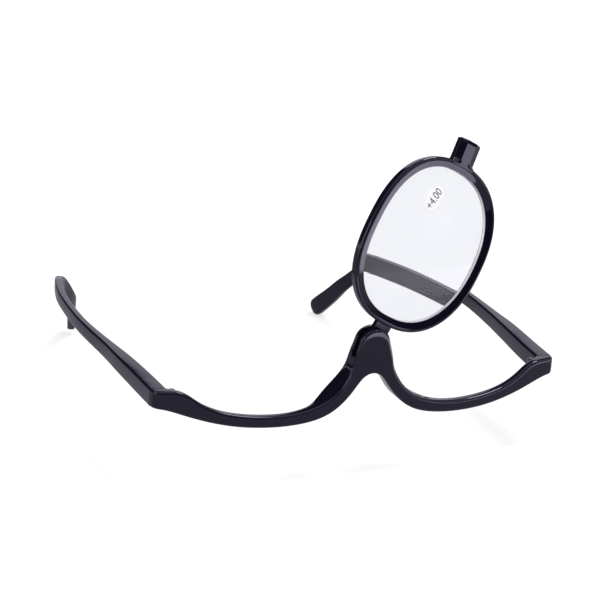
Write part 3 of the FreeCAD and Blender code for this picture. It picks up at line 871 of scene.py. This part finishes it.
# The rim of the lens's front is a pale bevel, set off by one thin line
rim_materials = {lens_rings - 2: 1, lens_rings - 3: 2}
for polygon in lens.data.polygons:
    ring_number = (polygon.index - lens_count) // lens_count
    polygon.material_index = rim_materials.get(ring_number, 0)
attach(lens, "lens_arm")
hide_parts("lens")
print("lens", len(lens.data.polygons), "faces")

# %% [markdown]
# ## The power label
# A small oval film sits on the lens and names its power in dioptres, which is plain optics.

# %% Draw the label
label_long, label_high, label_film_thickness, film_gap = 4.2, 2.55, 0.08, 0.02
label_x, label_z = ring_reach + 14.2, pivot_height + 5.95
label_turn = math.radians(-14.5)


def film_point(u, v, lift):
    """The place on the lens of a point of the label, at a height above the film's foot."""
    c, s = math.cos(label_turn), math.sin(label_turn)
    x, z = label_x + u * c - v * s, label_z + u * s + v * c
    return on_ball(x, z, lens_front + lift, -lens_bulge - film_gap - lift)


film_points = [film_point(0, 0, label_film_thickness)]
film_sides, film_rings = 72, 6
film_profile = [(k / film_rings, label_film_thickness) for k in range(1, film_rings)]
film_profile += [(0.985, label_film_thickness), (1.0, label_film_thickness * 0.6), (1.0, 0.0)]
for share, lift in film_profile:
    for k in range(film_sides):
        a = 2 * math.pi * k / film_sides
        film_points.append(film_point(label_long * share * math.cos(a),
                                      label_high * share * math.sin(a), lift))
film_faces = dome_faces(len(film_profile), film_sides)
film_faces.append(tuple(range(len(film_points) - film_sides, len(film_points))))
film = make_mesh("label_oval", opened(film_points), film_faces, 30)
face_outward(film)
film.data.materials.append(label_film)
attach(film, "lens_arm")
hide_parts("lens_label")

# %% The power in plain numerals
curve = bpy.data.curves.new("power", "FONT")
curve.body, curve.align_x, curve.align_y = "+4.00", "CENTER", "CENTER"
curve.size, curve.resolution_u, curve.offset = 3.7, 4, -0.008
words = add_object("power", curve)
bpy.context.view_layer.update()
flat = baked(words)
bpy.data.objects.remove(words)
shape = bmesh.new()
shape.from_mesh(flat)
bmesh.ops.subdivide_edges(shape, edges=[e for e in shape.edges if e.calc_length() > 0.4], cuts=2)
bmesh.ops.triangulate(shape, faces=shape.faces)
shape.to_mesh(flat)
shape.free()
narrowed, ink_lift = 0.82, 0.015
text_points = [film_point(v.co.x * narrowed, v.co.y, label_film_thickness + ink_lift)
               for v in flat.vertices]
text_faces = [tuple(p.vertices) for p in flat.polygons]
bpy.data.meshes.remove(flat)
numerals = make_mesh("label_numerals", opened(text_points), text_faces)
numerals.data.materials.append(label_ink)
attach(numerals, "lens_arm")
print("label and numerals", len(text_faces), "faces")

# %% [markdown]
# ## The temples
# Each temple is a bar with a boxy section that thins from the hinge, runs back, and dips behind
# the ear. It follows one path and two rules, for its width and its height, so it is made with
# Geometry Nodes: a grid of rows and sides is wrapped round the path, and the last rows close in
# on a quarter circle to round the tip. A second temple is the same tree with its side turned.

# %% Path and rules of the temple
temple_wall, temple_height, temple_edge, temple_tip, temple_nose = 5.5, 5.8, 0.7, 0.9, 2.6
temple_length, temple_drop_, temple_turn = 134.0, 25.6, 19.0
hinge_y = seam_depth + 0.2
shares = ((0.0, 0.0, 0.0, 1.0, 1.0), (0.090, -0.018, -0.024, 0.965, 0.985),
          (0.194, -0.055, -0.058, 0.86, 0.93), (0.313, -0.092, -0.078, 0.60, 0.86),
          (0.448, -0.119, -0.090, 0.48, 0.80), (0.582, -0.050, -0.093, 0.46, 0.77),
          (0.697, 0.085, -0.090, 0.50, 0.76), (0.753, 0.200, -0.085, 0.50, 0.75),
          (0.794, 0.305, -0.068, 0.50, 0.74), (0.824, 0.420, -0.005, 0.50, 0.74),
          (0.848, 0.550, 0.118, 0.50, 0.75), (0.872, 0.700, 0.300, 0.50, 0.78),
          (0.899, 0.825, 0.470, 0.50, 0.85), (0.929, 0.900, 0.645, 0.50, 0.94),
          (0.958, 0.980, 0.800, 0.50, 1.02), (0.975, 1.025, 0.890, 0.50, 1.04))
centres = [(half_width - temple_wall / 2 - temple_turn * turn, hinge_y + temple_length * along,
            endpiece_bottom + endpiece_height / 2 - temple_drop_ * drop)
           for along, turn, drop, *_ in shares]
onward = np.array(centres[-1]) - np.array(centres[-2])
onward /= np.linalg.norm(onward)
path_points = natural_spline(centres + [tuple(np.array(centres[-1]) + onward * temple_nose)], 240)
path_run = run_along(path_points)
station_run = [path_run[np.argmin(np.linalg.norm(path_points - np.array(c), axis=1))]
               for c in centres]


def path_object(name, inward, upward_):
    """The temple's path as a curve of straight steps; its tip may settle a little in and up."""
    curve = bpy.data.curves.new(name, "CURVE")
    curve.dimensions = "3D"
    spline_ = curve.splines.new("POLY")
    spline_.points.add(len(path_points) - 1)
    ease = np.clip((path_run / path_run[-1] - 0.72) / 0.25, 0, 1)
    ease = ease ** 2 * (3 - 2 * ease)
    for item, p, e in zip(spline_.points, path_points, ease):
        item.co = ((p[0] - inward * e) * MM, p[1] * MM, (p[2] + upward_ * e) * MM, 1)
    return add_object(name, curve)


# %% Node tree that wraps a grid round the path
sides, rows, tip_rows, bevel = 32, 150, 10, 0.25 * MM
wrap = bpy.data.node_groups.new("temple_bar", "GeometryNodeTree")
wrap.interface.new_socket("Path", in_out="INPUT", socket_type="NodeSocketGeometry")
sockets = {}
for name, value in (("Side", 1.0), ("Wall", temple_wall * MM), ("Height", temple_height * MM),
                    ("Edge Round", temple_edge * MM), ("Tip Round", temple_tip * MM),
                    ("Nose Radius", temple_nose * MM)):
    item = wrap.interface.new_socket(name, in_out="INPUT", socket_type="NodeSocketFloat")
    item.default_value = value
    sockets[name] = item.identifier
wrap.interface.new_socket("Bar", in_out="OUTPUT", socket_type="NodeSocketGeometry")
given = node(wrap, "NodeGroupInput").outputs
path = given["Path"]


def calc(operation, *sources):
    return maths(wrap, operation, *sources)


def product(*sources):
    return times(wrap, *sources)


def within_one(source):
    return calc("MINIMUM", calc("MAXIMUM", source, 0.0), 1.0)


grid = node(wrap, "GeometryNodeMeshGrid", {"Size X": 1.0, "Size Y": 1.0, "Vertices X": rows,
                                           "Vertices Y": sides + 1}).outputs["Mesh"]
index = node(wrap, "GeometryNodeInputIndex").outputs[0]
row = calc("FLOOR", calc("DIVIDE", calc("ADD", index, 0.5), sides + 1.0))
side = calc("SUBTRACT", index, product(row, sides + 1.0))
# Place along the path: even rows, then a quarter circle of rows at the tip
length = node(wrap, "GeometryNodeCurveLength", {0: path}).outputs[0]
body_run = calc("SUBTRACT", length, given["Nose Radius"])
body_rows = float(rows - 2 - tip_rows)
even = within_one(calc("DIVIDE", calc("SUBTRACT", row, 2.0), body_rows - 2))
start_bevel = product(calc("LESS_THAN", row, 1.5), bevel)
turned = within_one(calc("DIVIDE", calc("SUBTRACT", row, body_rows), float(tip_rows)))
turned = product(turned, quarter_turn)
along = calc("MULTIPLY_ADD", calc("SINE", turned), given["Nose Radius"],
             product(even, body_run))
along = calc("MAXIMUM", along, product(calc("GREATER_THAN", row, 1.5), bevel))
trim = calc("SUBTRACT", 1.0, calc("COSINE", turned))
sample = node(wrap, "GeometryNodeSampleCurve", {"Curves": path, "Length": along},
              mode="LENGTH").outputs


def rule(name, column, base, round_):
    """Half of a size along the path: a float curve through the stations' shares."""
    share = calc("DIVIDE", along, length)
    item = node(wrap, "ShaderNodeFloatCurve", {"Value": share}, label=name)
    curve_points = item.mapping.curves[0].points
    wanted = [(r / path_run[-1], s[column] / top_share) for r, s in zip(station_run, shares)]
    wanted.append((1.0, wanted[-1][1]))
    while len(curve_points) < len(wanted):
        curve_points.new(0.5, 0.5)
    for point, place in zip(curve_points, wanted):
        point.location = place
    item.mapping.update()
    full = product(item.outputs[0], product(base, top_share / 2))
    return calc("SUBTRACT", calc("SUBTRACT", full, product(trim, round_)), start_bevel)


top_share = 1.25
half_wall = rule("width along the temple", 3, given["Wall"], given["Tip Round"])
half_high = rule("height along the temple", 4, given["Height"], given["Nose Radius"])
# Corner arcs: eight points each, so that the flats between them stay flat
per = sides // 4
sector = calc("FLOOR", calc("DIVIDE", calc("ADD", side, 0.5), float(per)))
within = calc("DIVIDE", calc("SUBTRACT", side, product(sector, float(per))), per - 1.0)
around_angle = product(calc("ADD", sector, within), quarter_turn)
middle_angle = product(calc("ADD", sector, 0.5), quarter_turn)
edge_round = calc("MINIMUM", given["Edge Round"], product(half_wall, 0.8))
edge_round = calc("MINIMUM", edge_round, product(half_high, 0.8))
closed = product(calc("GREATER_THAN", row, 0.5), calc("LESS_THAN", row, rows - 1.5))


def across_section(half_size, trig):
    flat_part = product(calc("SIGN", calc(trig, middle_angle)),
                        calc("SUBTRACT", half_size, edge_round))
    return product(calc("MULTIPLY_ADD", calc(trig, around_angle), edge_round, flat_part), closed)


out_way, up_way = across_section(half_wall, "COSINE"), across_section(half_high, "SINE")


def vector(operation, first, second=None):
    values = {0: first}
    if second is not None:
        values["Scale" if operation == "SCALE" else 1] = second
    return node(wrap, "ShaderNodeVectorMath", values, operation=operation).outputs[0]


upward = node(wrap, "ShaderNodeCombineXYZ", {"Z": 1.0}).outputs[0]
across = vector("NORMALIZE", vector("CROSS_PRODUCT", sample["Tangent"], upward))
raised = vector("CROSS_PRODUCT", across, sample["Tangent"])
place = vector("ADD", sample["Position"],
               vector("ADD", vector("SCALE", across, out_way), vector("SCALE", raised, up_way)))
x, y, z = node(wrap, "ShaderNodeSeparateXYZ", {0: place}).outputs
tip_sink_share, merge_reach = 0.24, 0.002 * MM
tip_sink = product(trim, given["Nose Radius"], tip_sink_share)
sided = node(wrap, "ShaderNodeCombineXYZ", {0: product(x, given["Side"]), 1: y,
                                            2: calc("SUBTRACT", z, tip_sink)}).outputs[0]
bar = node(wrap, "GeometryNodeSetPosition", {"Geometry": grid, "Position": sided}).outputs[0]
bar = node(wrap, "GeometryNodeMergeByDistance",
           {"Geometry": bar, "Distance": merge_reach}).outputs[0]
bar = node(wrap, "GeometryNodeSetShadeSmooth", {0: bar, "Shade Smooth": True}).outputs[0]
bar = node(wrap, "GeometryNodeRealizeInstances", {0: bar}).outputs[0]
bar = node(wrap, "GeometryNodeSetMaterial", {"Geometry": bar, "Material": temple_black}).outputs[0]
node(wrap, "NodeGroupOutput", {0: bar})


def temple(name, side_, settle):
    """A temple made by the tree on its own path, baked to a plain mesh."""
    source = path_object(name + "_path", *settle)
    modifier = source.modifiers.new("bar", "NODES")
    modifier.node_group = wrap
    modifier[sockets["Side"]] = float(side_)
    source.update_tag()
    mesh = baked(source)
    bpy.data.objects.remove(source)
    mesh.name = name
    mesh.materials.clear()
    mesh.materials.append(temple_black)
    piece = add_object(name, mesh)
    face_outward(piece)
    mesh.set_sharp_from_angle(angle=math.radians(35))
    return piece


for side_name, side_, settle in (("left", 1, (0.6, -0.2)), ("right", -1, (0.85, 1.3))):
    piece = temple("temple_bar_" + side_name, side_, settle)
    print(piece.name, len(piece.data.polygons), "faces", [m.name for m in piece.data.materials],
          [round(c * 1000, 1) for c in piece.dimensions])
    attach(piece, "temple_" + side_name)
    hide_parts("temple_" + side_name)

# %% [markdown]
# ## Metal parts
# The hinges, screws, washers and the bush are right as built, so they stay and get their metals.

# %% Finishes for the metal parts
for name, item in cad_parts.items():
    metal = turned_brass if "bush" in name else dark_steel
    if any(word in name for word in ("hinge", "screw", "washer", "bush")):
        for place in item.material_slots:
            place.material = metal
        print("metal", name, [s_.material.name for s_ in item.material_slots])
